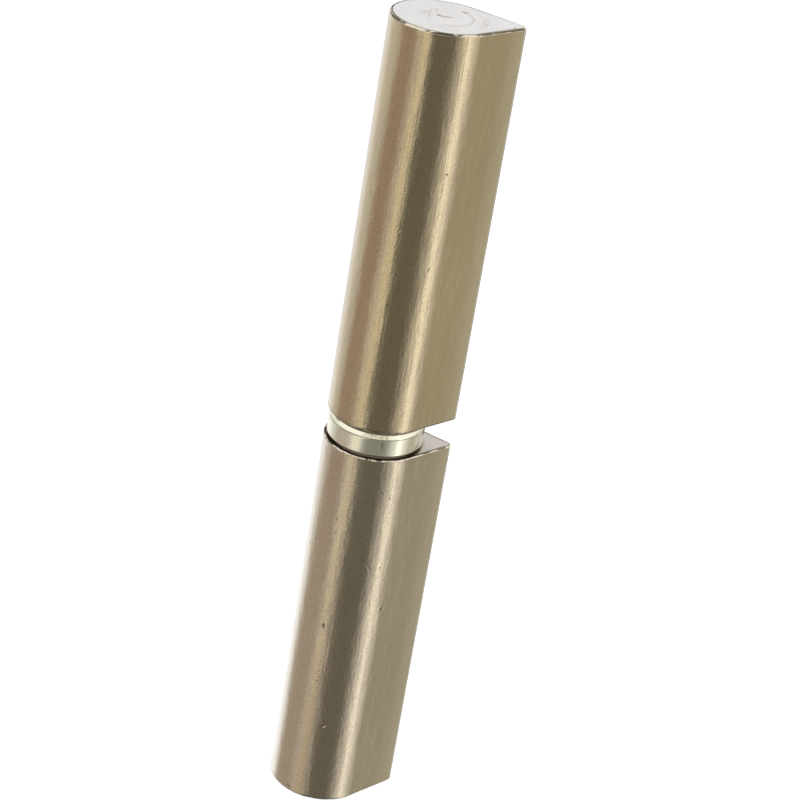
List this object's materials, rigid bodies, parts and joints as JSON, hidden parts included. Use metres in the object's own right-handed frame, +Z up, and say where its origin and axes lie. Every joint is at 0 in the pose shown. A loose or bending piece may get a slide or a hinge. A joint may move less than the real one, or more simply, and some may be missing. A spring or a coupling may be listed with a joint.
{
  "type": "weld-on door hinge",
  "caption": "Weld-on lift-off door hinge: two drop-section steel barrels on a fixed pin, turning on a shrouded thrust ball bearing between them.",
  "frame": {"origin": "on the pin axis, in the bottom end face of the lower half", "axes": "+Z up the pin axis towards the upper half, +X from the pin axis towards the weld nose"},
  "size_m": [0.0252, 0.02, 0.1659],
  "materials": {
    "bar_steel": "oiled drawn bar",
    "pin_steel": "ground",
    "race_steel": "ground",
    "ball_steel": "polished",
    "cage_brass": "pressed sheet",
    "cover_plating": "bright plated"
  },
  "bodies": {
    "lower_half": {"lower_barrel": "bar_steel", "hinge_pin": "pin_steel", "lower_race": "race_steel"},
    "bearing_top": {"bearing_cover": "cover_plating", "upper_race": "race_steel"},
    "ball_set": {"ball_cage": "cage_brass", "ball_01": "ball_steel", "ball_02": "ball_steel", "ball_03": "ball_steel", "ball_04": "ball_steel", "ball_05": "ball_steel", "ball_06": "ball_steel", "ball_07": "ball_steel", "ball_08": "ball_steel", "ball_09": "ball_steel", "ball_10": "ball_steel", "ball_11": "ball_steel", "ball_12": "ball_steel", "ball_13": "ball_steel", "ball_14": "ball_steel"},
    "upper_half": {"upper_barrel": "bar_steel"}
  },
  "joints": [
    {"name": "swing", "type": "hinge", "parent": "lower_half", "child": "bearing_top", "pos_m": [0, 0, 0.08], "axis": [0, 0, 1], "continuous": true},
    {"name": "ball_orbit", "type": "hinge", "parent": "lower_half", "child": "ball_set", "pos_m": [0, 0, 0.08], "axis": [0, 0, 1], "continuous": true},
    {"name": "lift_off", "type": "slide", "parent": "bearing_top", "child": "upper_half", "axis": [0, 0, 1], "range_m": [0, 0.05]}
  ],
  "couplings": [
    {"joint": "ball_orbit", "follows": "swing", "ratio": 0.5}
  ]
}
